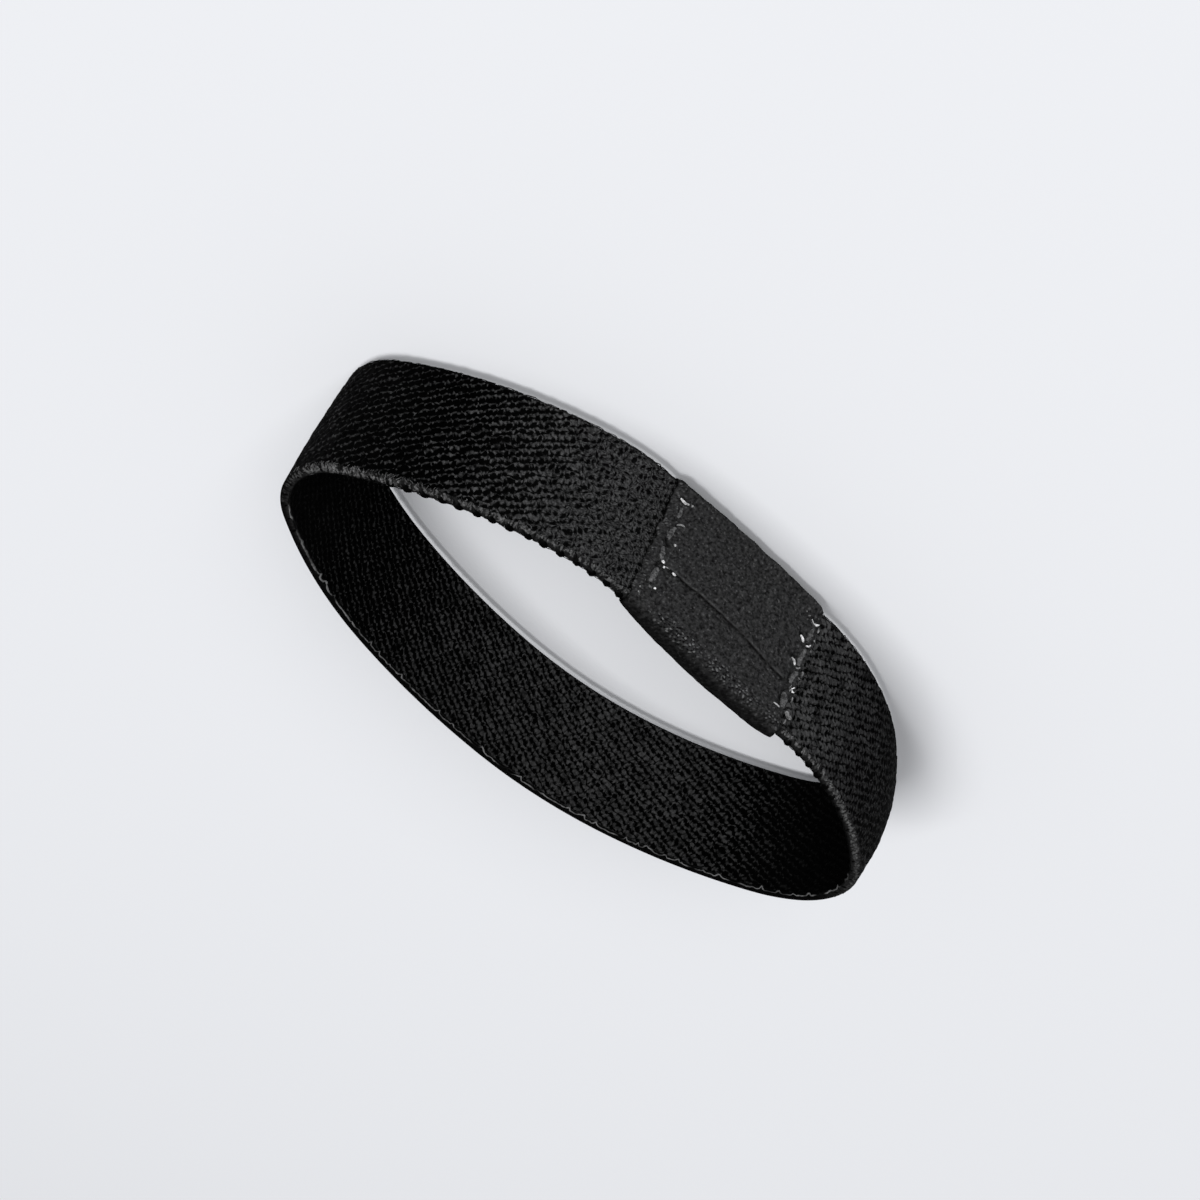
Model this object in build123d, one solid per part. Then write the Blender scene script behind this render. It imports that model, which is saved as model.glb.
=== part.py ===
from build123d import *
import os
from math import atan2, cos, degrees, radians, sin, sqrt

# Elastic wristband: a strip of webbing closed into a loop, with a woven label folded round it.
# The loop stands on its lower edge, so its opening faces up. +X is along the loop's long
# way, -Y is the label's side and +Z is up. The origin is under the middle of the whole.

# Loop, measured at the middle of the webbing's thickness
loop_length = 73.2        # end to end
loop_depth = 35.2         # label side to back

# Webbing
band_width = 16.0
band_thickness = 1.1
rim_round = 0.3           # rounding of its four long edges
end_gap = 0.4             # between the strip's two ends, inside the label

# Label, a cloth tube with its lap on the outer face
label_length = 21.4       # along the webbing
label_shift = 2.7         # of the label's middle from the loop's middle, towards -X
label_wall = 1.0
label_clearance = 0.1     # between the webbing and the label, all round
label_bow = 0.7           # how far its inner face stands off in the middle
fold_round = 1.1          # rounding of the folds over the webbing's two rims
lap_width = 5.2           # from the webbing's upper rim down to the free edge of the lap
lap_step = 0.3            # height of that free edge
run_spare = 0.9           # straight webbing past each end of the label

# Course of the loop past the straight run under the label, anticlockwise seen from above.
# Columns: share of loop_length, share of loop_depth, direction of travel in degrees.
course = (
    (0.245, -0.440, 23.0),
    (0.475, -0.105, 48.0),
    (0.500, 0.030, 90.0),
    (0.461, 0.200, 140.5),
    (-0.010, 0.500, 180.0),
    (-0.440, 0.147, 221.5),
    (-0.500, -0.095, 270.0),
    (-0.400, -0.370, 328.0),
)

# Derived places
band_skin = band_thickness / 2                            # from the loop line to a face
label_lining = band_skin + label_clearance                # to the inside of the label's wall
label_skin = label_lining + label_wall                    # to the label's face
label_overhang = label_clearance + label_wall             # past each rim of the webbing
band_bottom = label_overhang
band_top = band_bottom + band_width
label_top = band_top + label_overhang
lap_level = band_top - lap_width
label_middle = -label_shift                               # X of the label's middle
loop_front = (label_skin - band_skin - loop_depth) / 2    # Y of the straight run
loop_middle = loop_front + loop_depth / 2


def tangent_joint(start, end):
    """Knot where two tangent arcs meet that lead from one knot to another."""
    x0, y0, heading0 = start
    x1, y1, heading1 = end
    ux, uy = cos(radians(heading0)), sin(radians(heading0))
    wx, wy = cos(radians(heading1)), sin(radians(heading1))
    dx, dy = x1 - x0, y1 - y0
    along = dx * (ux + wx) + dy * (uy + wy)
    bend = 2 * (1 - ux * wx - uy * wy)
    reach = (sqrt(along**2 + bend * (dx**2 + dy**2)) - along) / bend
    x = (x0 + x1 + reach * (ux - wx)) / 2
    y = (y0 + y1 + reach * (uy - wy)) / 2
    return x, y, 2 * degrees(atan2(y - y0, x - x0)) - heading0


def loop_knots():
    """Knots of the loop line, x, y and heading: the straight run first, then arc after arc."""
    half_run = label_length / 2 + run_spare
    run_start = (label_middle - half_run, loop_front, 0.0)
    run_end = (label_middle + half_run, loop_front, 0.0)
    marks = [(sx * loop_length, loop_middle + sy * loop_depth, turn) for sx, sy, turn in course]
    knots = [run_start]
    for start, end in zip([run_end] + marks, marks + [run_start]):
        knots += [start, tangent_joint(start, end)]
    return knots


def beside(knot, offset):
    """Point at this distance from a knot, outward where it is positive."""
    x, y, heading = knot
    return Vector(x + offset * sin(radians(heading)), y - offset * cos(radians(heading)))


def loop_wire(offset):
    """Closed line beside the loop line: the straight run, then tangent arcs."""
    knots = loop_knots()
    points = [beside(knot, offset) for knot in knots]
    edges = [Edge.make_line(points[0], points[1])]
    for knot, start, end in zip(knots[1:], points[1:], points[2:] + points[:1]):
        heading = Vector(1, 0).rotate(Axis.Z, knot[2])
        edges.append(Edge.make_tangent_arc(start, heading, end))
    return Wire(edges)


def end_edges(solid):
    """Edges of the flat faces at the bottom and at the top of an extruded solid."""
    levels = solid.edges().group_by(Axis.Z)
    return levels[0] + levels[-1]


def elastic_band():
    """Strip of webbing round the loop, open by a narrow slot where its two ends butt."""
    band = extrude(Face(loop_wire(band_skin), [loop_wire(-band_skin)]), band_width, dir=(0, 0, 1))
    band = Pos(0, 0, band_bottom) * fillet(end_edges(band), rim_round)
    slot = Box(end_gap, 2 * band_thickness, 2 * band_width)
    return band - Pos(label_middle, loop_front, band_bottom + band_width / 2) * slot


def label_plan(skin, length):
    """Plan of the label at this distance from the loop line, bowed out on its inner side."""
    face_radius = (label_length**2 + 4 * label_bow**2) / (8 * label_bow)
    radius = face_radius - (label_skin - skin)
    slab = Pos(label_middle, loop_front) * Rectangle(length, 2 * skin)
    disc = Pos(label_middle, loop_front + skin + label_bow - radius) * Circle(radius)
    inner_half = Rectangle(length, skin + 2 * label_bow, align=(Align.CENTER, Align.MIN))
    return slab + (disc & Pos(label_middle, loop_front) * inner_half)


def label_sleeve():
    """Woven label: a flat cloth tube round the webbing, lower above the free edge of its lap."""
    through = label_length + 2 * run_spare
    body = extrude(label_plan(label_skin, label_length), label_top, dir=(0, 0, 1))
    step = Box(through, 2 * lap_step, label_top, align=(Align.CENTER, Align.CENTER, Align.MIN))
    body = body - Pos(label_middle, loop_front - label_skin, lap_level) * step
    body = fillet([edge for edge in end_edges(body) if edge.length > label_length / 2], fold_round)
    inside = extrude(label_plan(label_lining, through), band_width + 2 * label_clearance, dir=(0, 0, 1))
    return body - Pos(0, 0, band_bottom - label_clearance) * inside


os.makedirs("parts", exist_ok=True)
nodes = {"elastic_band": elastic_band(), "label_sleeve": label_sleeve()}
for name, shape in nodes.items():
    export_step(shape.solid(), f"parts/{name}.step")
print("webbing along its middle", round(loop_wire(0).length - end_gap, 1), "mm")
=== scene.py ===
import math

import bpy
import numpy as np
from mathutils import Matrix, Vector


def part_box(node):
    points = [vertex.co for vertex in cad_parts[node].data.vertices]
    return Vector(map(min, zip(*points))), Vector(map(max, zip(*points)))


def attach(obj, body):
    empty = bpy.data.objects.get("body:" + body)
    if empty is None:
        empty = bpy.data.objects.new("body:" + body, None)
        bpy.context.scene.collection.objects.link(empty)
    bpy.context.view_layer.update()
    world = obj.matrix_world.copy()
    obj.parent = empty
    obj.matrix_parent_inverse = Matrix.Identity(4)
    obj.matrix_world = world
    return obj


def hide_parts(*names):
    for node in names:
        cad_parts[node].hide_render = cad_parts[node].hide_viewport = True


# Elastic wristband of black twill webbing with a woven label folded round it.
# Lengths are in metres. Distances along the band start in the middle of the label and run
# anticlockwise as seen from above; heights are above the floor that the band stands on.

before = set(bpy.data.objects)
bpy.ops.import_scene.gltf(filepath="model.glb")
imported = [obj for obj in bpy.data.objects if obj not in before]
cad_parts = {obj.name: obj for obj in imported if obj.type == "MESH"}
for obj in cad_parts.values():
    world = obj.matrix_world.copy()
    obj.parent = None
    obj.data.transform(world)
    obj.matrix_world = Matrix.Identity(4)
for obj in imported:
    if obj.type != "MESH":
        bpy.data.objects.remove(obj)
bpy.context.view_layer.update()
band_low, band_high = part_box("elastic_band")
label_low, label_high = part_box("label_sleeve")
mm = 0.001

# Webbing
band_thickness = 1.1 * mm
band_skin = band_thickness / 2
band_bottom = band_low.z
band_top = band_high.z
band_width = band_top - band_bottom
end_gap = 0.4 * mm                # between the strip's two ends, inside the label

# Loop line, at the middle of the webbing's thickness
loop_length = band_high.x - band_low.x - band_thickness
loop_depth = band_high.y - band_low.y - band_thickness
loop_front = band_low.y + band_skin
loop_middle = loop_front + loop_depth / 2
run_spare = 0.9 * mm              # straight webbing past each end of the label

# Course of the loop past the straight run under the label, anticlockwise seen from above.
# Columns: share of loop_length, share of loop_depth, direction of travel in degrees.
course = (
    (0.245, -0.440, 23.0),
    (0.475, -0.105, 48.0),
    (0.500, 0.030, 90.0),
    (0.461, 0.200, 140.5),
    (-0.010, 0.500, 180.0),
    (-0.440, 0.147, 221.5),
    (-0.500, -0.095, 270.0),
    (-0.400, -0.370, 328.0),
)

# Label
label_length = label_high.x - label_low.x
label_middle = (label_low.x + label_high.x) / 2
label_wall = 0.55 * mm            # from the webbing's outer face to the label's skin
label_back_wall = 0.8 * label_wall
face_bulge = 0.12 * mm            # of its outer face between the two seams
back_bulge = 0.75 * mm            # and of its inner face
label_fold = 0.95 * mm            # radius of the folds over the webbing's two rims
lap_step = 0.22 * mm              # height of the free edge of the lap
label_columns = 150
face_rows = 80                    # of the mesh, below the lap's free edge; half as many above it
back_rows = 90
fold_rows = 14

# X of the label's two ends, each at the webbing's lower rim and at its upper rim
label_ends = ((-13.4 * mm, -13.2 * mm), (8.1 * mm, 7.9 * mm))

# Seams across the label's two ends: X in millimetres, and where the stitches' wave starts
seams = ((-12.5, 0.1), (6.6, 0.45))
seam_reach = 0.45                 # millimetres, half the width of a seam's hollow
seam_depth = 0.10 * mm
seam_wave = 0.06 * mm             # by which the depth comes and goes with the stitches
stitch_step = 2.95 * mm
hole_depth = 0.16 * mm
seam_fades = ((-12.0 * mm, -11.2 * mm), (6.6 * mm, 6.2 * mm))    # X over which the lap's edge fades

# Stitches, left and right as the photograph shows them: kind, radius, then places on the label's
# face, all in millimetres, the places along X and above the floor
bar, pale, white = "bar", "pale", "white"
stitches_right = (
    (bar, 0.38, (-12.65, 15.2), (-12.5, 14.3), (-12.35, 13.4)),
    (bar, 0.3, (-12.4, 12.2), (-12.38, 11.4), (-12.63, 10.4)),
    (bar, 0.32, (-12.53, 9.7), (-12.53, 8.5), (-12.68, 7.3)),
    (bar, 0.27, (-12.53, 6.3), (-12.63, 5.3), (-12.68, 4.3)),
    (pale, 0.25, (-14.15, 15.35), (-13.7, 15.4), (-13.15, 15.3)),
    (pale, 0.1, (-13.4, 16.6), (-13.5, 16.3), (-13.55, 16)),
    (white, 0.08, (-12.3, 15.35), (-11.9, 15.35), (-11.4, 15.45)),
    (pale, 0.08, (-13.4, 13.9), (-13.35, 13.2)),
    (white, 0.08, (-13.3, 12.6), (-13.1, 12.75), (-12.9, 12.45)),
    (white, 0.08, (-13.05, 12.2), (-12.8, 12.6), (-12.7, 12.9)),
    (pale, 0.08, (-12.7, 12.9), (-12.6, 12.2)),
    (pale, 0.08, (-13.28, 10.95), (-13.03, 10.9)),
    (pale, 0.12, (-13.33, 10.5), (-13.28, 9.9)),
    (pale, 0.1, (-12.83, 9.7), (-12.63, 9.95), (-12.38, 10.1)),
    (white, 0.13, (-12.08, 9.95), (-11.88, 9.6), (-11.48, 9.35)),
    (pale, 0.1, (-13.33, 7.2), (-13.28, 7)),
    (white, 0.1, (-13.08, 6.4), (-12.88, 6.75), (-12.58, 6.85)),
    (white, 0.14, (-12.13, 6.75), (-11.83, 6.5), (-11.58, 6.2)),
    (pale, 0.1, (-13.33, 5.7), (-13.28, 5.5)),
    (pale, 0.12, (-13.38, 4.4), (-13.28, 3.9)),
    (white, 0.13, (-13.18, 3.45), (-12.88, 3.75), (-12.38, 3.85), (-12.13, 3.5)),
    (pale, 0.09, (-11.83, 3.25), (-11.48, 3.55)),
    (pale, 0.08, (-11.23, 3.15), (-11.13, 3.2)),
)
stitches_left = (
    (bar, 0.35, (6.45, 14.3), (6.45, 13.3), (6.35, 12.3)),
    (bar, 0.3, (6.5, 11.4), (6.6, 10.6), (6.8, 9.8)),
    (bar, 0.3, (6.75, 8.65), (6.7, 7.7), (6.45, 6.8)),
    (bar, 0.25, (6.65, 5.7), (6.65, 4.9), (6.6, 4.2)),
    (bar, 0.15, (6.1, 14.85), (6.5, 14.8)),
    (white, 0.12, (5.7, 14.55), (5.9, 14.7)),
    (white, 0.13, (4.3, 11.55), (4.5, 11.6), (4.75, 11.55)),
    (pale, 0.08, (5.2, 11.5), (5.7, 11.55)),
    (white, 0.13, (5.8, 11.7), (5.85, 11.8)),
    (white, 0.14, (6.05, 11.45), (6.4, 11.4)),
    (white, 0.15, (5.77, 8.75), (5.83, 8.85)),
    (pale, 0.08, (5.1, 8.85), (5.2, 8.85)),
    (pale, 0.1, (5.65, 6), (6, 6.1), (6.3, 6.3), (6.5, 6.55)),
    (white, 0.12, (5.75, 3.15), (5.85, 3.25)),
    (white, 0.14, (6.2, 3.3), (6.6, 3.5), (7, 3.48), (7.3, 3.4)),
    (pale, 0.1, (7, 16.35), (7.3, 16.2)),
    (pale, 0.12, (7.3, 15.7), (7.32, 15.6)),
)

# Needle holes beside the stitches. Columns: X, height, reach along X, reach up, in millimetres.
needle_holes = (
    (-12.05, 14.2, 0.32, 0.8), (-11.98, 11.4, 0.18, 1), (-11.48, 9.15, 0.55, 0.3), (-11.58, 6, 0.3, 0.3),
    (-12.58, 3.15, 0.6, 0.18), (-13.2, 15.85, 0.5, 0.15), (6.5, 9.45, 0.25, 0.3), (6.9, 8.95, 0.25, 0.35),
    (6.65, 11.9, 0.2, 0.35), (7, 6.1, 0.16, 0.4), (6.7, 3, 0.6, 0.14), (6.85, 14.5, 0.12, 0.3),
)

# Twill weave, three picks by three ends to a repeat
repeat_along = 1.70 * mm
repeat_across = 1.05 * mm
pick = repeat_along / 3           # between neighbouring weft yarns
warp_step = repeat_across / 3     # between neighbouring warp yarns
columns_a_repeat = 7              # of the mesh
rows_a_repeat = 4
row_slant = 32                    # degrees, direction of the twill's rows
hollow_scatter = 0.32             # share of a step by which the hollows stray
tuft_scatter = 0.50               # and the tufts
twill_depth = 0.16 * mm
repeat_turn = 2 * math.pi * mm    # phase of one repeat, for places in millimetres

# Look of the webbing's two faces. Columns: distance in millimetres, then shares of how far the
# elastic stands open, or is packed where negative, how far the nap hides the weave, and how far
# the face is darkened by painted shade, most round the two bends.
look_outside = (
    (12, -0.26, 0.04, 0.16), (16, -0.16, 0.04, 0.14), (20, 0.1, 0.03, 0.08), (26, 0.5, 0.02, 0.1),
    (31, 0.8, 0, 0.18), (36, 1, 0, 0.4), (42, 1, 0.03, 0.52), (46, 1, 0.14, 0.6), (52, 1, 0.18, 0.68),
    (66, 0.4, 0.08, 0.1), (120, 0.4, 0.03, 0.05), (138, 0.8, 0.1, 0.3), (143, 0.5, 0.12, 0.6),
    (149, 0.3, 0.03, 0.6), (153, 0.1, 0, 0.53), (157, -0.15, 0, 0.38), (160, -0.2, 0, 0.28),
    (163, -0.2, 0.02, 0.18),
)
look_inside = (
    (12, 0.3, 0, 0.15), (40, 0.9, 0, 0.6), (46, 1, 0.2, 0.88), (57, 1, 0.1, 0.82), (63, 0.95, 0, 0.54),
    (70, 0.9, 0, 0.34), (80, 0.48, 0, 0.17), (92, 0.26, 0, 0.07), (100, 0.14, 0, 0.02),
    (112, 0.14, 0, 0.02), (118, 0.36, 0, 0.12), (122, 0.6, 0, 0.25), (127, 0.9, 0.05, 0.75),
    (131, 0.95, 0.1, 0.92), (151, 0.9, 0.1, 0.92), (157, 0.6, 0, 0.5), (163, 0.3, 0, 0.2),
)

# Belly of the webbing between its rims. Columns: share of the loop where it peaks, its reach
# along the band and its height in millimetres.
bellies = ((0.28, 9, 0.20), (0.815, 8, 1.35))

# Stretches along the band over which something comes or goes
tangle_by_label = (15 * mm, 25 * mm)      # the outer face's tangle of yarns fades
tangle_to_bend = (134 * mm, 142 * mm)     # it grows
tangle_past_bend = (147 * mm, 155 * mm)   # and fades again
turns_finer = (34 * mm, 42 * mm)          # the turns of yarn over the rim get finer
turns_thicker = (149 * mm, 158 * mm)      # and thicker again
thread_calms = (40 * mm, 46 * mm)         # the corner threads stop dipping onto the faces
thread_dips = (58 * mm, 66 * mm)          # and dip again

# Rims of the webbing
rim_inset = 0.35 * mm             # where the faces turn over into the rims
rim_points = 7                    # of the mesh, over each rim
turn_pitch = 1.78 * mm            # between neighbouring turns of yarn over the upper rim
turn_lean = 0.95 * mm             # how far each turn leans along the rim
weft_pitch = 0.42 * pick          # between neighbouring ends of weft over the upper rim
yarn_sunk = 0.16 * mm             # how deep the yarns over the upper rim sit in the faces
yarn_centre = 0.40 * mm           # from the webbing's top down to the middle of their bends
yarn_rise = 0.28 * mm             # and from there up to the top of their bends
yarn_foot = 0.75 * mm             # their run down the outer face for each radian below angle 0
corner_thread = 0.06 * mm         # radius of the fine threads along two corners

# Thickness of a turn, as radius in millimetres at angles over the rim, 0 outside and pi inside
turn_angles = (-0.5, 0.6, 2.2, 3.1)
turn_radii = (0.16, 0.26, 0.50, 0.40)

# Brightness along an end of weft, from its foot on the outer face to its tip
weft_fade = (0.7, 0.9, 1.0, 1.0, 1.0, 0.9, 0.8, 0.6, 0.35)

# Stretches of the upper rim with stray hairs: from and to in millimetres, and how many
hair_stretches = ((33, 47, 50), (12, 33, 26), (146, 163, 22))

# Painted shade on the rims' upturned faces. Columns: distance in millimetres, outer half, inner half.
rim_darkness = (
    (12, 0.3, 0.6), (38, 0.3, 0.4), (44, 0.6, 0.15), (50, 0.9, 0.1), (57, 0.95, 0.4), (64, 0.95, 0.9),
    (133, 0.95, 0.95), (138, 0.2, 0.3), (143, 0, 0.5), (149, 0, 0.8), (163, 0.3, 0.7),
)

# Ends of weft over the upper rim. Columns: distance in millimetres, how pale, how thick, and the
# angle over the rim that they reach.
rim_shine = (
    (12, 0.95, 1, 1.1), (20, 0.95, 0.9, 1.1), (27, 0.9, 0.9, 1.4), (33, 0.9, 1, 1.9), (37, 1, 1, 2.3),
    (44, 1, 1, 2.4), (48, 0.45, 0.5, 2.2), (52, 0.2, 0, 2), (134, 0.15, 0, 1.6), (138, 0.4, 1.2, 1.8),
    (144, 0.6, 1.5, 1.9), (149, 0.9, 1.3, 1.8), (155, 1, 1, 1.3), (163, 1, 1, 1.1),
)

# Threads along the corners. Columns: distance in millimetres, how thick, how pale.
edge_look = (
    (12, 0.9, 0.2), (36, 1, 0.1), (41, 0.6, -0.4), (49, 0.7, -0.3), (53, 1.5, 0.5), (57, 1.9, 0.9),
    (61, 1.8, 1.1), (66, 1.4, 0.9), (72, 1.2, 0.8), (126, 1.2, 0.8), (131, 1.3, 0.5), (139, 1.3, 0.1),
    (142, 0.6, -0.6), (158, 0.6, -0.6), (163, 0.9, 0),
)

# Photograph's camera
camera_target = Vector((4.44 * mm, -5.11 * mm, 9.1 * mm))
camera_distance = 212.1 * mm
camera_azimuth = math.radians(25.29)    # from -Y towards +X
camera_elevation = math.radians(38.0)
camera_roll = math.radians(-155.08)
focal_share = 2060 / 1200               # focal length over the picture's width
sensor = 36.0


# Noise made of plane waves, the same in every run

wave_count = 14
wave_spread = 0.35                # of the logarithm of their lengths


def waves(seed, size):
    """Directions and lengths of plane waves whose wavelengths lie about a size."""
    dice = np.random.default_rng(seed)
    turn = dice.uniform(0, 2 * np.pi, wave_count)
    number = 2 * np.pi / (size * np.exp(dice.normal(0, wave_spread, wave_count)))
    phase = dice.uniform(0, 2 * np.pi, wave_count)
    return np.stack([number * np.cos(turn), number * np.sin(turn), phase])


def drift(along, across, seed, size):
    """Smooth random field over the cloth, about -1 to 1."""
    total = 0.0
    for kx, ky, phase in waves(seed, size).T:
        total = total + np.cos(kx * along + ky * across + phase)
    return total / math.sqrt(wave_count / 2) * 0.7


def smooth(low, high, x):
    """0 at low, 1 at high, with a soft passage between; either may be the larger."""
    t = np.clip((x - low) / (high - low), 0, 1)
    return t * t * (3 - 2 * t)


def table(rows, distance):
    """Columns of a table at given distances along the band, its first column being the distance."""
    places, *columns = np.array(rows).T
    return np.stack([np.interp(distance / mm, places, column) for column in columns])


# Loop line

def tangent_joint(start, end):
    """Knot where two tangent arcs meet that lead from one knot to another."""
    x0, y0, heading0 = start
    x1, y1, heading1 = end
    ux, uy = math.cos(heading0), math.sin(heading0)
    wx, wy = math.cos(heading1), math.sin(heading1)
    dx, dy = x1 - x0, y1 - y0
    along = dx * (ux + wx) + dy * (uy + wy)
    bend = 2 * (1 - ux * wx - uy * wy)
    reach = (math.sqrt(along**2 + bend * (dx**2 + dy**2)) - along) / bend
    x = (x0 + x1 + reach * (ux - wx)) / 2
    y = (y0 + y1 + reach * (uy - wy)) / 2
    heading = heading0 + 2 * math.remainder(math.atan2(y - y0, x - x0) - heading0, 2 * math.pi)
    return x, y, heading


def loop_knots():
    """Knots of the loop line, x, y and heading, from the label's middle round to it again."""
    half_run = label_length / 2 + run_spare
    marks = [(label_middle + half_run, loop_front, 0.0)]
    for share_x, share_y, turn in course:
        marks.append((share_x * loop_length, loop_middle + share_y * loop_depth, math.radians(turn)))
    marks.append((label_middle - half_run, loop_front, 2 * math.pi))
    knots = [(label_middle, loop_front, 0.0)]
    for start, end in zip(marks[:-1], marks[1:]):
        knots += [start, tangent_joint(start, end)]
    return np.array(knots + [marks[-1], (label_middle, loop_front, 2 * math.pi)])


knots = loop_knots()
knot_turn = np.diff(knots[:, 2])
knot_chord = np.hypot(*np.diff(knots[:, :2], axis=0).T)
knot_run = knot_chord / np.sinc(knot_turn / 2 / np.pi)
knot_distance = np.concatenate([[0.0], np.cumsum(knot_run)])
loop_round = knot_distance[-1]


def place(distance, offset, height):
    """Points beside the loop line, outward where the offset is positive."""
    distance, offset, height = np.broadcast_arrays(distance, offset, height)
    wrapped = distance % loop_round
    arc = np.clip(np.searchsorted(knot_distance, wrapped, side="right") - 1, 0, len(knot_run) - 1)
    gone = wrapped - knot_distance[arc]
    bend = knot_turn[arc] / knot_run[arc] * gone
    chord = gone * np.sinc(bend / 2 / np.pi)
    start = knots[arc]
    x = start[..., 0] + chord * np.cos(start[..., 2] + bend / 2)
    y = start[..., 1] + chord * np.sin(start[..., 2] + bend / 2)
    heading = start[..., 2] + bend
    return np.stack([x + offset * np.sin(heading), y - offset * np.cos(heading), height], axis=-1)


# Mesh helpers

def quads(rings, count):
    """Faces between rings of points that follow each other, each ring closed on itself."""
    ring, k = (g.ravel() for g in np.meshgrid(np.arange(rings - 1), np.arange(count), indexing="ij"))
    base, ahead, after = ring * count, (ring + 1) * count, (k + 1) % count
    return np.stack([base + k, ahead + k, ahead + after, base + after], axis=1).tolist()


def in_scene(name, data):
    """New object in the scene."""
    thing = bpy.data.objects.new(name, data)
    bpy.context.scene.collection.objects.link(thing)
    return thing


def new_piece(name, slot, points, faces, materials, uv=None, indices=None, **numbers):
    """Smooth mesh object that rides on the model's one body.

    The numbers are values for each point, which the piece's materials read by their names.
    """
    mesh = bpy.data.meshes.new(name)
    mesh.from_pydata(points.reshape(-1, 3).tolist(), [], faces)
    mesh.validate()
    for material in materials:
        mesh.materials.append(material)
    mesh.polygons.foreach_set("use_smooth", [True] * len(mesh.polygons))
    if indices is not None:
        mesh.polygons.foreach_set("material_index", indices)
    if uv is not None:
        layer = mesh.uv_layers.new(name="weave")
        corner = np.empty(len(mesh.loops), dtype=np.int32)
        mesh.loops.foreach_get("vertex_index", corner)
        layer.data.foreach_set("uv", uv.reshape(-1, 2)[corner].astype(np.float32).ravel())
    for key, values in numbers.items():
        layer = mesh.attributes.new(key, "FLOAT", "POINT")
        layer.data.foreach_set("value", np.asarray(values, dtype=np.float32).ravel())
    mesh.update()
    piece = in_scene(name, mesh)
    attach(piece, "root")
    return piece


def tube(path, radius, sides):
    """Points and faces of a closed round thread along a path; the radius may vary along it."""
    path = np.asarray(path)
    radius = np.broadcast_to(radius, len(path))
    ahead = np.gradient(path, axis=0)
    ahead /= np.linalg.norm(ahead, axis=1)[:, None]
    seed = [0, 0, 1] if abs(ahead[0, 2]) < 0.9 else [1, 0, 0]
    across = np.cross(ahead, seed)
    for i in range(1, len(path)):
        across[i] = across[i - 1] - ahead[i] * (across[i - 1] @ ahead[i])
        across[i] /= np.linalg.norm(across[i])
    across[0] /= np.linalg.norm(across[0])
    third = np.cross(ahead, across)
    turn = np.arange(sides)[:, None] / sides * 2 * np.pi
    ring = across[:, None] * np.cos(turn) + third[:, None] * np.sin(turn)
    points = path[:, None] + ring * radius[:, None, None]
    faces = quads(len(path), sides)
    faces.append(list(range(sides))[::-1])
    faces.append([(len(path) - 1) * sides + k for k in range(sides)])
    return points.reshape(-1, 3), faces


def thread_piece(name, slot, parts, material, **numbers):
    """Piece made of several threads, each given by its points and faces."""
    points, faces, first = [], [], 0
    for part_points, part_faces in parts:
        points.append(part_points)
        faces += [[first + k for k in face] for face in part_faces]
        first += len(part_points)
    return new_piece(name, slot, np.concatenate(points), faces, [material], **numbers)


# Materials

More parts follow.
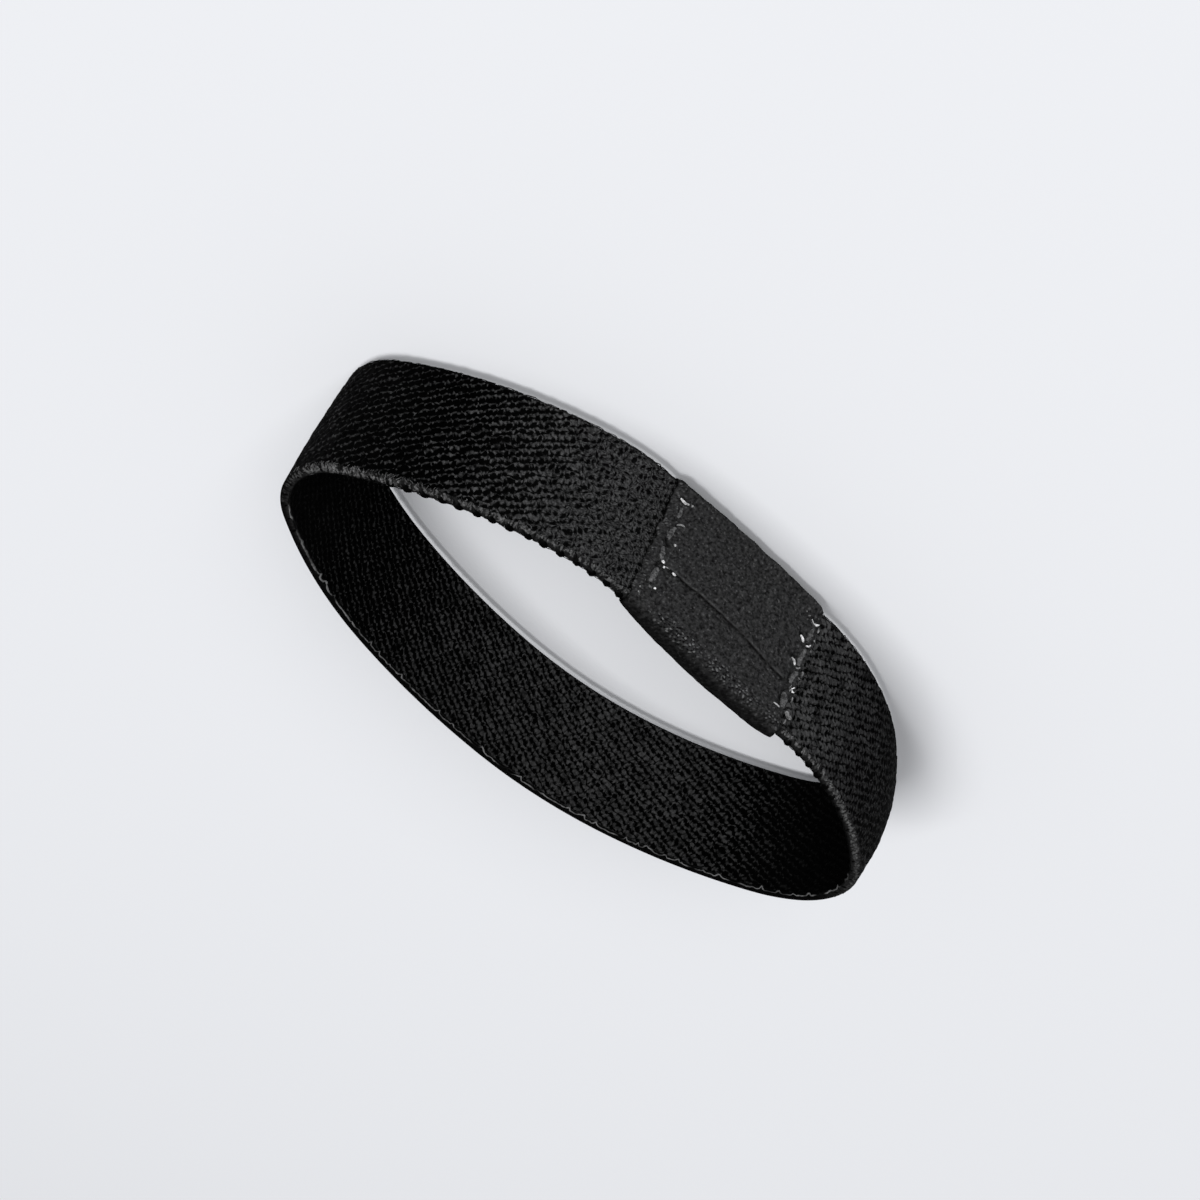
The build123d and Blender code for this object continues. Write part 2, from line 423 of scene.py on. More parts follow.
class Nodes:
    """Short way to write a material's nodes."""

    def __init__(self, name):
        self.material = bpy.data.materials.new(name)
        self.material.use_nodes = True
        self.tree = self.material.node_tree
        self.shader = self.tree.nodes["Principled BSDF"]

    def link(self, value, socket):
        if isinstance(value, bpy.types.NodeSocket):
            self.tree.links.new(value, socket)
        else:
            socket.default_value = value

    def node(self, kind, *values, named=None, **settings):
        """New node with these settings, first inputs and named inputs."""
        node = self.tree.nodes.new("ShaderNode" + kind)
        for key, setting in settings.items():
            setattr(node, key, setting)
        for value, socket in zip(values, node.inputs):
            self.link(value, socket)
        for key, value in (named or {}).items():
            self.link(value, node.inputs[key])
        return node

    def uv(self):
        return self.node("UVMap", uv_map="weave").outputs["UV"]

    def place(self):
        """Place in the model, in metres."""
        return self.node("TexCoord").outputs["Object"]

    def attribute(self, name):
        return self.node("Attribute", attribute_name=name).outputs["Fac"]

    def maths(self, operation, a, b=0.0, c=0.0):
        return self.node("Math", a, b, c, operation=operation).outputs[0]

    def line(self, value, slope, start):
        """The start and this many times the value."""
        return self.maths("MULTIPLY_ADD", value, slope, start)

    def product(self, a, b):
        return self.maths("MULTIPLY", a, b)

    def rest(self, share):
        """What a share leaves of 1."""
        return self.maths("SUBTRACT", 1.0, share)

    def passage(self, value, low, high):
        """0 at low, 1 at high, with a soft passage between."""
        node = self.node("MapRange", value, low, high, interpolation_type="SMOOTHSTEP")
        return node.outputs["Result"]

    def vector(self, operation, *values):
        return self.node("VectorMath", *values, operation=operation).outputs[0]

    def dot(self, a, b):
        return self.node("VectorMath", a, b, operation="DOT_PRODUCT").outputs["Value"]

    def length(self, vector):
        return self.maths("SQRT", self.dot(vector, vector))

    def stretched(self, vector, turn, size):
        """Coordinates turned into a slanting grain and counted in grains of this size."""
        grain = {"Rotation": (0, 0, math.radians(turn)), "Scale": (*size, 1)}
        return self.node("Mapping", vector, named=grain, vector_type="TEXTURE").outputs[0]

    def noise(self, vector, scale, detail, roughness=0.5, output="Fac"):
        grain = {"Scale": scale, "Detail": detail, "Roughness": roughness}
        return self.node("TexNoise", vector, named=grain).outputs[output]

    def strayed(self, vector, scale, detail, amount):
        """Coordinates that stray sideways by noise, by this amount at most each way."""
        stray = self.vector("ADD", self.noise(vector, scale, detail, output="Color"), (-0.5, -0.5, 0))
        stray = self.node("VectorMath", stray, named={"Scale": amount}, operation="SCALE").outputs[0]
        return self.vector("MULTIPLY_ADD", stray, (1, 1, 0), vector)

    def cells(self, vector, feature, randomness):
        grain = {"Scale": 1.0, "Randomness": randomness}
        return self.node("TexVoronoi", vector, named=grain, voronoi_dimensions="2D", feature=feature)

    def mix(self, factor, a, b):
        node = self.node("Mix", factor, data_type="RGBA")
        self.link(a, node.inputs[6])
        self.link(b, node.inputs[7])
        return node.outputs[2]

    def cloth(self, colour, height, depth, roughness=0.9):
        bump = self.node("Bump", named={"Strength": 1.0, "Distance": depth, "Height": height})
        self.link(bump.outputs["Normal"], self.shader.inputs["Normal"])
        self.link(colour, self.shader.inputs["Base Color"])
        self.shader.inputs["Roughness"].default_value = roughness
        self.shader.inputs["Specular IOR Level"].default_value = 0.015
        return self.material


def grey(level):
    """Plain colour of a given brightness in the picture's own scale from 0 to 255."""
    linear = (level / 255) ** 2.2
    return (linear, linear, linear, 1.0)


def lattice(n, uv):
    """Weave coordinates of the cloth: steps along a twill row, and rows across."""
    share = 3 * mm / (repeat_along * repeat_across)
    in_row = n.dot(uv, (2 * warp_step * share, pick * share, 0))
    across = n.dot(uv, (-warp_step * share, pick * share, 0))
    return n.node("CombineXYZ", in_row, across).outputs[0]


def hollows(n, steps, fray, size, fray_share):
    """1 in the black hollows of the weave's lattice, each longer along its row, and 0 beside them."""
    open_weave = n.attribute("open")
    places = n.vector("ADD", steps, (hollow_scatter / 2, hollow_scatter / 2, 0))
    cell = n.cells(places, "F1", hollow_scatter)
    away = n.vector("SUBTRACT", places, cell.outputs["Position"])
    along_row = n.product(n.dot(away, (1, 0, 0)), n.line(open_weave, -0.12, 0.70))
    across_rows = n.dot(away, (-0.375, 1.2, 0))
    radius = n.maths("SQRT", n.line(across_rows, across_rows, n.product(along_row, along_row)))
    unlike = n.maths("SUBTRACT", n.dot(cell.outputs["Color"], (1, 0, 0)), 0.5)
    distance = n.line(fray, n.line(open_weave, -0.30, fray_share), radius)
    distance = n.line(unlike, n.line(open_weave, -0.14, 0.20), distance)
    distance = n.line(open_weave, -0.25, distance)
    return n.rest(n.passage(distance, size - 0.09, size + 0.10))


def cracks(n, uv, loose_uv, steps, fray, row_share):
    """How dark the cracks round the tufts are, deepest along the rows."""
    loose = n.attribute("loose")
    open_weave = n.attribute("open")
    shift = tuft_scatter / 2 - 0.5
    tuft = n.cells(n.vector("ADD", steps, (shift, shift, 0)), "DISTANCE_TO_EDGE", tuft_scatter)
    edge = n.line(open_weave, -0.09, n.line(fray, 0.42, tuft.outputs["Distance"]))
    crack = n.rest(n.passage(edge, 0.02, 0.19))
    broken = n.passage(n.noise(uv, 1.9, 2.0, 0.6), 0.38, 0.58)
    broken = n.line(broken, n.line(loose, -0.3, 0.55), 0.40)
    broken = n.line(open_weave, 0.40, broken)
    row_wave = n.dot(loose_uv, (repeat_turn / repeat_along, -repeat_turn / repeat_across, 0))
    in_rows = n.line(loose, -row_share, row_share)
    in_rows = n.line(n.maths("MAXIMUM", open_weave, 0.0), 0.20, in_rows)
    return n.product(crack, n.line(n.maths("COSINE", row_wave), in_rows, broken))


def yarn_light(n, uv, loose_uv, strands):
    """How light the yarn is: strands along the rows, broad patches, upright bars, picks and grain."""
    loose = n.attribute("loose")
    light = n.line(strands, 1.5, -0.65)
    light = n.line(n.noise(uv, 0.35, 1.0), 0.9, light)
    bars = n.maths("SUBTRACT", n.noise(n.stretched(uv, 0, (0.9, 3.0)), 1.0, 1.0), 0.5)
    light = n.line(n.product(bars, n.rest(loose)), 1.6, light)
    pick_wave = n.maths("COSINE", n.dot(loose_uv, (repeat_turn / pick, 0, 0)))
    light = n.line(pick_wave, n.line(n.attribute("open"), -0.06, -0.20), light)
    grain = n.maths("SUBTRACT", n.noise(uv, 5.0, 1.0), 0.5)
    return n.line(grain, n.line(loose, 2.2, 0.9), light)


def twill(name, yarn, spread, hollow, size, fray_share, row_share):
    """Dark twill: uneven grey tufts in slanting rows, cracks between them and black hollows.

    The size is a hollow's radius in steps of the weave. The two shares are how ragged the hollows
    are and how far the cracks keep to the rows.
    """
    n = Nodes(name)
    uv = n.uv()
    loose_uv = n.strayed(uv, 1.4, 3.0, n.line(n.attribute("open"), -0.28, 0.62))
    steps = lattice(n, loose_uv)
    fray = n.maths("SUBTRACT", n.noise(uv, 4.4, 3.0, 0.65), 0.5)
    pits = hollows(n, steps, fray, size, fray_share)
    dark = n.maths("MAXIMUM", pits, cracks(n, uv, loose_uv, steps, fray, row_share))
    gaps_in_tangle = n.rest(n.passage(n.noise(uv, 3.9, 3.0, 0.7), 0.36, 0.45))
    dark = n.maths("MAXIMUM", n.product(gaps_in_tangle, n.attribute("loose")), dark)
    dark = n.product(n.maths("MINIMUM", dark, 1.0), n.rest(n.attribute("nap")))
    strands = n.noise(n.stretched(loose_uv, row_slant, (0.55, 0.22)), 1.0, 2.0, 0.6)
    light = yarn_light(n, uv, loose_uv, strands)
    body = n.mix(light, grey(yarn * (1 - 0.9 * spread)), grey(yarn * (1 + spread)))
    # painted shade: the yarn darkened towards the hollows' colour, by its attribute
    body = n.mix(n.attribute("shade"), body, grey(hollow))
    colour = n.mix(dark, body, grey(hollow))
    height = n.line(strands, 0.5, n.product(dark, -1.0))
    return n.cloth(colour, height, twill_depth)


def rim_cloth():
    """Smooth grainy cloth of the webbing's rims, with painted shade where its attribute says."""
    n = Nodes("rim_cloth")
    grain = n.noise(n.uv(), 4.0, 2.0, 0.65)
    colour = n.mix(n.passage(grain, 0.3, 0.7), grey(22), grey(48))
    # painted shade on the rims, darkening them towards grey 8
    colour = n.mix(n.attribute("open"), colour, grey(8))
    return n.cloth(colour, grain, 0.05 * mm)


def thread(name, level, spread):
    """Twisted thread of one brightness, with a little unevenness."""
    n = Nodes(name)
    uneven = n.noise(n.place(), 1 / (0.32 * mm), 3.0, 0.65)
    colour = n.mix(n.passage(uneven, 0.36, 0.64), grey(level * (1 - spread)), grey(level * (1 + spread)))
    fine = n.noise(n.place(), 1 / (0.16 * mm), 2.0, 0.6)
    return n.cloth(colour, fine, 0.12 * mm, roughness=0.8)


def corner_yarn(name, level):
    """Thread along a corner of the webbing: grey, paler where its attribute says."""
    n = Nodes(name)
    colour = n.mix(n.attribute("pale"), grey(level * 0.2), grey(level))
    fine = n.noise(n.place(), 1 / (0.2 * mm), 2.0, 0.6)
    return n.cloth(colour, fine, 0.08 * mm)


def rim_yarn(name, grain, roughness, low, high, dull, bright, dark, depth):
    """Yarn over the rim: dull to bright in grains of this size, darker where its attribute says: painted
    shade on the turns, the yarn's own tone on the ends of weft.
    """
    n = Nodes(name)
    uneven = n.noise(n.place(), 1 / grain, 2.0, roughness)
    colour = n.mix(n.passage(uneven, low, high), grey(dull), grey(bright))
    # darkened by painted shade on the turns and by the yarn's own tone on the ends of weft
    colour = n.mix(n.attribute("deep"), colour, grey(dark))
    return n.cloth(colour, uneven, depth)


def woven_label():
    """Charcoal label cloth: mottled, light floats in rows near the fold, black over the fold."""
    n = Nodes("label_cloth")
    uv = n.uv()
    specks = n.attribute("specks")
    grain = n.noise(n.stretched(uv, 52, (0.42, 0.30)), 1.0, 2.0, 0.6)
    light = n.line(grain, 0.55, n.product(n.noise(uv, 1.3, 3.0, 0.65), 0.45))
    body = n.mix(n.passage(light, 0.32, 0.70), grey(22), grey(63))
    body = n.mix(n.passage(n.noise(uv, 2.6, 1.0), 0.62, 0.74), body, grey(78))
    # painted highlight along the lap's free edge
    body = n.mix(n.product(n.attribute("ridge"), 0.5), body, grey(84))
    floats = n.stretched(n.strayed(uv, 2.4, 1.0, 0.35), 28, (0.48, 0.38))
    cell = n.cells(floats, "F1", 0.75)
    away = n.vector("SUBTRACT", floats, cell.outputs["Position"])
    reach = n.length(n.vector("MULTIPLY", away, (1.0, 1.1, 0)))
    shine = n.product(
        n.rest(n.passage(reach, 0.12, 0.42)),
        n.passage(n.dot(cell.outputs["Color"], (1, 0, 0)), 0.25, 0.95),
    )
    beside = n.length(n.vector("MULTIPLY", n.vector("ADD", away, (0.1, -0.42, 0)), (0.8, 1, 0)))
    pit = n.rest(n.passage(beside, 0.16, 0.40))
    body = n.mix(n.product(n.product(pit, specks), 0.9), body, grey(8))
    body = n.mix(n.product(shine, specks), body, grey(112))
    # the folds' own black, painted shade in the needle holes and a painted shadow under the lap
    colour = n.mix(n.attribute("fold"), body, grey(10))
    return n.cloth(colour, light, 0.10 * mm, roughness=0.85)


# Webbing

def band_columns():
    """Distances of the mesh's columns: fine where the webbing shows, wide inside the label."""
    step = repeat_along / columns_a_repeat
    hidden = label_length / 2 - 0.8 * mm
    shown = np.arange(round((loop_round - 2 * hidden) / step) + 1) * step + hidden
    first = np.linspace(end_gap / 2, hidden, 13)[:-1]
    last = np.linspace(loop_round - end_gap / 2, shown[-1], 13)[:-1][::-1]
    return np.concatenate([first, shown, last])


def band_ring():
    """Once round the webbing's section: places across it, its sides, and the points of a face."""
    step = repeat_across / rows_a_repeat
    rows = np.linspace(rim_inset, band_width - rim_inset, round((band_width - 2 * rim_inset) / step) + 1)
    rise = np.linspace(0, math.pi, rim_points + 2)[1:-1]
    across = np.concatenate([
        rows, band_width - rim_inset + rim_inset * np.sin(rise),
        rows[::-1], rim_inset - rim_inset * np.sin(rise),
    ])
    side = np.concatenate([np.ones(len(rows)), np.cos(rise), -np.ones(len(rows)), -np.cos(rise)])
    return across, np.sign(side) * np.abs(side) ** 0.5, len(rows)


def band_belly(along, across):
    """How far the webbing bellies out between its rims, most at the loop's -X end."""
    rise = 0.0
    for share, reach, height in bellies:
        rise = rise + np.exp(-((along - share * loop_round) / (reach * mm)) ** 2) * height
    middle = (2 * across / band_width - 1) ** 2
    return rise * (1 - middle) * mm


def band_looseness(along, across, side):
    """How tangled the outer face's yarns are: beside the label, in patches and at the -X bend."""
    beside_label = 0.9 * (1 - smooth(*tangle_by_label, along))
    patches = 0.25 * smooth(-0.2, 0.8, drift(along, across, 5, 9 * mm))
    bend = smooth(*tangle_to_bend, along) - 1.35 * smooth(*tangle_past_bend, along)
    return np.where(side > 0, beside_label + patches + bend, 0.0)


def band_openness(along, across, side, openness):
    """Openness of the weave, with a painted shadow beside the label's +X end and painted shade on the rims
    added to it.
    """
    # painted shadow beside the label's +X end, as wider black hollows
    gap = np.exp(-((along - label_length / 2) / (0.18 * mm)) ** 2)
    openness = openness + gap * np.clip(0.4 + 0.9 * drift(across, 0, 14, 1.6 * mm), 0, 1.0)
    on_rim = (across > band_width - rim_inset) & (np.abs(side) < 1)
    # painted shade on the rims, by distance along the band
    outer_half, inner_half = table(rim_darkness, along)
    darkness = outer_half + (inner_half - outer_half) * smooth(0.2, -0.5, side)
    return np.where(on_rim, darkness, openness)


def band_skin_points(along, across, side, loose):
    """Points of the webbing's skin: the weave's relief on both faces, sunk and swayed."""
    facing = across + side * 0.05     # so that the two faces aren't alike
    hem = smooth(0, 1.2 * mm, across) * smooth(0, 1.2 * mm, band_width - across)
    past_label = smooth(0, 2 * mm, along - label_length / 2)
    past_label = past_label * smooth(0, 2 * mm, loop_round - label_length / 2 - along)
    sway = (0.10 + 0.12 * loose) * mm * hem * past_label
    shift_along = sway * drift(along, facing, 11, 2.2 * mm)
    shift_across = sway * drift(along, facing, 12, 1.9 * mm)
    turn = 2 * np.pi
    u, v = along / repeat_along, across / repeat_across
    wave = 0.6 * np.cos(turn * (u - v)) + 0.3 * np.cos(turn * (2 * u + v)) + 0.3 * np.cos(turn * 3 * u)
    wave = wave * (1 - 0.7 * loose) + 0.25 * drift(along, facing, 13, 0.8 * mm)
    flat = np.clip(np.abs(side) * 4 - 3, 0, 1)
    relief = -twill_depth * (0.5 + 0.5 * wave) * flat * hem
    offset = side * band_skin + np.sign(side) * relief + band_belly(along, across)
    return place(along + shift_along, offset, band_bottom + across + shift_across)


def band_end_faces(base, rows, count, flip):
    """Faces that close one end of the strip, whose ring of points starts at base."""
    back = 2 * rows + rim_points - 1
    corners = [[k, k + 1, back - k - 1, back - k] for k in range(rows - 1)]
    corners.append(range(rows - 1, rows + rim_points + 1))
    corners.append([*range(back, count), 0])
    return [[base + k for k in face][::flip] for face in corners]


def webbing():
    """The strip of webbing: both faces in relief, two rims and two butted ends."""
    columns = band_columns()
    ring_across, ring_side, rows = band_ring()
    count = len(ring_across)
    along, across = np.meshgrid(columns, ring_across, indexing="ij")
    side = np.broadcast_to(ring_side, along.shape)
    loose = band_looseness(along, across, side)
    # the last column is painted shade, most round the two bends
    openness, nap, shade = np.where(side > 0, table(look_outside, along), table(look_inside, along))
    points = band_skin_points(along, across, side, loose)
    last = (len(columns) - 1) * count
    faces = quads(len(columns), count)
    faces += band_end_faces(0, rows, count, 1) + band_end_faces(last, rows, count, -1)
    outside, inside, rim = 0, 1, 2
    ring_material = np.repeat([outside, rim, inside, rim], [rows - 1, rim_points + 1] * 2)
    indices = np.full(len(faces), outside)
    indices[:last] = np.tile(ring_material, len(columns) - 1)
    materials = [
        twill("webbing_outside", yarn=57, spread=0.45, hollow=3, size=0.25, fray_share=0.75, row_share=0.14),
        twill("webbing_inside", yarn=52, spread=0.34, hollow=6, size=0.24, fray_share=0.55, row_share=0.20),
        rim_cloth(),
    ]
    uv = np.stack([along / mm, across / mm], axis=-1)
    # openness, with painted shade on the rims and a painted shadow beside the label's +X end
    openness = band_openness(along, across, side, openness)
    piece = new_piece("webbing", "webbing", points, faces, materials, uv, indices,
                      loose=loose, open=openness, nap=nap, shade=shade)
    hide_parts("elastic_band")


def rim_path(distance, angle, spare, lean=0.0):
    """Points of yarn wrapped over the upper rim: angle 0 on the outer face, pi on the inner."""
    over = np.clip(angle, 0, math.pi)
    offset = (band_skin - yarn_sunk + spare) * np.cos(over)
    height = band_top - yarn_centre + (yarn_rise + spare) * np.sin(over) + np.minimum(angle, 0) * yarn_foot
    return place(distance - lean * (over / math.pi - 0.5), offset, height)


def rim_turns():
    """Thick turns of yarn over the upper rim, like a rope's strands, grey outside, with painted shade over
    the top and inner side.
    """
    dice = np.random.default_rng(21)
    sides = 8
    parts, angles = [], []
    start = label_length / 2 + 0.6 * mm
    angle = np.linspace(turn_angles[0], math.pi * 0.96, 12)
    for distance in np.arange(start, loop_round - start, turn_pitch):
        distance += dice.normal(0, 0.06) * mm
        far = smooth(*turns_finer, distance) * (1 - smooth(*turns_thicker, distance))
        radius = np.interp(angle, turn_angles, turn_radii) * mm
        radius = radius * (1 - 0.6 * far) * dice.uniform(0.9, 1.1)
        parts.append(tube(rim_path(distance, angle, 0.0, turn_lean), radius, sides))
        angles.append(np.repeat(angle, sides))
    yarn = rim_yarn("rim_yarn", grain=0.45 * mm, roughness=0.65, low=0.35, high=0.68,
                    dull=14, bright=34, dark=9, depth=0.10 * mm)
    # painted shade: the turns darken from the rim's top over its inner side
    thread_piece("rim_turns", "webbing", parts, yarn, deep=smooth(0.9, 1.7, np.concatenate(angles)))


def rim_wefts():
    """Ends of weft that turn over the upper rim: short, rough and pale, low beside the label."""
    dice = np.random.default_rng(22)
    count, sides = len(weft_fade), 6
    parts, levels = [], []
    start = label_length / 2 + 0.4 * mm
    for distance in np.arange(start, loop_round - start, weft_pitch):
        distance += dice.normal(0, 0.14) * mm
        shine, bulk, wrap = table(rim_shine, distance)
        clump = drift(distance, 0.0, 24, 1.3 * mm)
        bulk = bulk * (1 + 0.12 * clump)
        if bulk < 0.05 or dice.random() < 0.04:
            continue
        first = dice.uniform(0.05, 0.55)
        last = wrap * dice.uniform(0.75, 1.1)
        lean = (np.linspace(-1, 1, count) * dice.normal(0, 0.17) + dice.normal(0, 0.06, count)) * mm
        radius = dice.uniform(0.09, 0.18) * mm * (0.5 + 0.5 * bulk)
        spare = 0.10 + 0.13 * smooth(1.6, 1.2, wrap) * bulk + 0.03 * clump + dice.normal(0, 0.03)
        path = rim_path(distance + lean, np.linspace(first, last, count), spare * mm)
        swell = np.sin(np.linspace(0.35, math.pi - 0.35, count)) ** 0.5
        rough = dice.uniform(0.6, 1.3, count) * swell
        parts.append(tube(path, radius * rough, sides))
        level = shine * (1 + 0.18 * clump) * dice.uniform(0.4, 1.0, count) * np.array(weft_fade)
        levels.append(np.repeat(level, sides))
    yarn = rim_yarn("rim_fuzz", grain=0.28 * mm, roughness=0.7, low=0.33, high=0.66,
                    dull=58, bright=112, dark=12, depth=0.14 * mm)
    deep = 1 - np.clip(np.concatenate(levels), 0, 1)
    thread_piece("rim_wefts", "webbing", parts, yarn, deep=deep)


def rim_hairs():
    """Fine filaments that stray from the rim onto the outer face."""
    dice = np.random.default_rng(23)
    count = 7
    parts = []
    for distance in np.sort(np.concatenate([dice.uniform(*stretch) for stretch in hair_stretches])):
        angle = np.linspace(dice.uniform(-0.35, 0.0), dice.uniform(0.4, 0.8), count)
        curl = 0.05 * np.sin(np.linspace(0, 5, count) + distance)
        lean = np.linspace(-1, 1, count) * dice.normal(0, 0.12) + curl
        path = rim_path((distance + lean) * mm, angle, 0.20 * mm)
        parts.append(tube(path, dice.uniform(0.02, 0.04) * mm, 5))
    thread_piece("rim_hairs", "webbing", parts, thread("hair", 70, 0.4))


def corner_line(name, side, height, dip, level, seed):
    """Fine thread along one corner of the webbing, which dips onto its face at some repeats."""
    dice = np.random.default_rng(seed)
    sides = 6
    most_repeats = 200
    start = label_length / 2 + 0.2 * mm
    along = np.arange(start, loop_round - start, repeat_along / 8)
    phase = along / repeat_along + 0.22 * drift(along, 0, seed + 2, 3.4 * mm)
    depths = dice.choice([0.0, 0.3, 0.7, 1.1], most_repeats)
    depth = np.interp(np.floor(phase), np.arange(most_repeats), depths)
    beat = np.maximum(0, np.cos(2 * np.pi * (phase - np.floor(phase) - 0.5))) ** 5
    sunk = depth * beat * (1 - 0.8 * smooth(*thread_calms, along) * smooth(*thread_dips[::-1], along))
    stray = 0.05 * mm * drift(along, 0, seed, 1.1 * mm) + dice.normal(0, 0.02, len(along)) * mm
    offset = side * (band_skin - 0.09 * mm + 0.13 * mm * np.minimum(3 * sunk, 1))
    path = place(along, offset, height + dip * sunk + stray)
    swell, light = table(edge_look, along)
    swell = swell * (1 + 0.4 * np.minimum(sunk, 1)) * dice.uniform(0.5, 1.3, len(along))
    light = light + 0.55 * drift(along, 0, seed + 1, 2.2 * mm) + 0.5 * sunk - 0.15
    light = light * dice.uniform(0.5, 1.2, len(along))
    paleness = np.repeat(np.clip(light, 0, 1), sides)
    yarn = corner_yarn(name + "_yarn", level)
    thread_piece(name, "webbing", [tube(path, corner_thread * swell, sides)], yarn, pale=paleness)


# Label

def pitted(x, z):
    """1 in a needle hole, 0 away from it."""
    depth = 0.0
    for hole_x, hole_z, wide, high in needle_holes:
        depth = depth + np.exp(-((x / mm - hole_x) / wide) ** 2 - ((z / mm - hole_z) / high) ** 2)
    return np.minimum(depth, 1.0)


def seam_pull(x, z):
    """How deep the two seams and their needle holes draw the label's face in."""
    pull = 0.0
    for middle, phase in seams:
        near = np.exp(-((x / mm - middle) / seam_reach) ** 2)
        pull = pull + near * (seam_depth + seam_wave * np.cos(2 * np.pi * (z / stitch_step + phase)))
    return pull + hole_depth * pitted(x, z)


def label_bulge(share):
    """How far the label stands off between its seams, as a share of the most."""
    return np.sin(np.pi * share) ** 0.7


def face_offset(share):
    """How far the label's outer face stands from the loop line, above its lap."""
    return band_skin + label_wall - lap_step / 2 + face_bulge * label_bulge(share)


def lap_edge(share):
    """Height of the lap's free edge along the label."""
    return band_bottom + (10.25 + 1.05 * smooth(0.55, 0.0, share) + 0.2 * share**3) * mm


def face_height(x, z):
    """How far the label's outer face stands from the loop line, its lap and seams included."""
    share = np.clip((x - label_low.x) / label_length, 0, 1)
    height = face_offset(share) + lap_step * smooth(0.1 * mm, -0.1 * mm, z - lap_edge(share))
    height = height - seam_pull(x, z)
    past_end = smooth(0.0, 0.5 * mm, label_low.x + 0.1 * mm - x)
    return height + (band_skin + 0.22 * mm - height) * past_end


def label_sections(share):
    """Sections of the label's skin along it: distances from the loop line, outward, and heights."""
    bulge = label_bulge(share)
    bottom = band_bottom - (0.70 - 0.25 * share) * mm - 0.38 * mm * bulge
    top = band_top + (1.10 - 0.60 * share) * mm + 0.25 * mm * bulge
    inner = band_skin + label_back_wall + back_bulge * bulge
    over = np.linspace(0, math.pi, fold_rows + 2)[1:-1]
    sections = []
    for low, high, lap, front, back in zip(
        bottom + label_fold, top - label_fold, lap_edge(share), face_offset(share), inner,
    ):
        middle, half = (front - back) / 2, (front + back) / 2
        offset = np.concatenate([
            np.full(face_rows, front + lap_step), np.full(face_rows // 2, front),
            middle + half * np.cos(over), np.full(back_rows, -back), middle - half * np.cos(over),
        ])
        height = np.concatenate([
            np.linspace(low, lap, face_rows), np.linspace(lap, high, face_rows // 2),
            high + label_fold * np.sin(over), np.linspace(high, low, back_rows),
            low - label_fold * np.sin(over),
        ])
        sections.append(np.stack([offset, height], axis=1))
    return np.array(sections)


def label_lengthwise(share, z):
    """X of the label's points: its two ends lean a little and aren't cut quite straight."""
    level = np.clip((z - band_bottom) / band_width, 0, 1)
    first, last = (low + (high - low) * level for low, high in label_ends)
    first = first + 0.08 * mm * drift(z, 0, 31, 3 * mm)
    last = last + 0.13 * mm * drift(z, 0, 32, 1.8 * mm) + 0.04 * mm * drift(z, 0, 38, 0.5 * mm)
    return first + (last - first) * share[:, None]


def label_folds(x, z, lap, outside):
    """Darkness of the label's folds, with painted shade in its needle holes and a painted shadow under its
    lap.
    """
    row = np.arange(x.shape[1])
    past_face = row - (face_rows + face_rows // 2)
    fold = smooth(-1.4, 5.6, past_face + 1.3 * drift(x, z * 2, 35, 1.0 * mm))
    fold = 0.82 * fold * (1 - 0.4 * smooth(0, 8, past_face - fold_rows))
    # painted shade in the needle holes
    fold = np.maximum(fold, 0.85 * outside * pitted(x, z))
    shadow = np.exp(-((z - lap) / (0.22 * mm)) ** 2) * ((row >= face_rows) & (row < face_rows + 6))
    return np.maximum(fold, 0.9 * shadow * lap_wear(x, 1.0))


def label_ridge(x, z, lap):
    """Painted highlight along the lap's free edge, patchy."""
    ridge = np.exp(-((lap - z) / (0.16 * mm)) ** 2) * (np.arange(x.shape[1]) < face_rows)
    return ridge * lap_wear(x, 0.6)


def lap_wear(x, share):
    """How clearly the lap edge's painted highlight and shadow show: about this share, unevenly, and only
    between the seams.
    """
    between_seams = smooth(*seam_fades[0], x) * smooth(*seam_fades[1], x)
    return between_seams * np.clip(share + 0.5 * drift(x, 0, 37, 1.2 * mm), 0, 1)


def label_specks(x, z, outside):
    """Where light floats show on the label's face: under its upper fold and at its +X end."""
    patchy = np.clip(0.75 + 0.45 * drift(x, 0, 36, 5 * mm), 0, 1) * smooth(8 * mm, 3 * mm, x)
    patchy = patchy * (0.65 + 0.35 * smooth(-13 * mm, -5 * mm, x))
    low = (16.1 + 0.2 * smooth(0 * mm, -8 * mm, x)) * mm
    specks = outside * smooth(low - 0.3 * mm, low + 0.3 * mm, z) * smooth(18.0 * mm, 17.6 * mm, z) * patchy
    rough_end = outside * smooth(6.7 * mm, 7.2 * mm, x) * (0.45 + 0.25 * drift(x, z, 39, 1.5 * mm))
    return np.maximum(specks, np.clip(rough_end, 0, 1) * (z < 16.5 * mm))


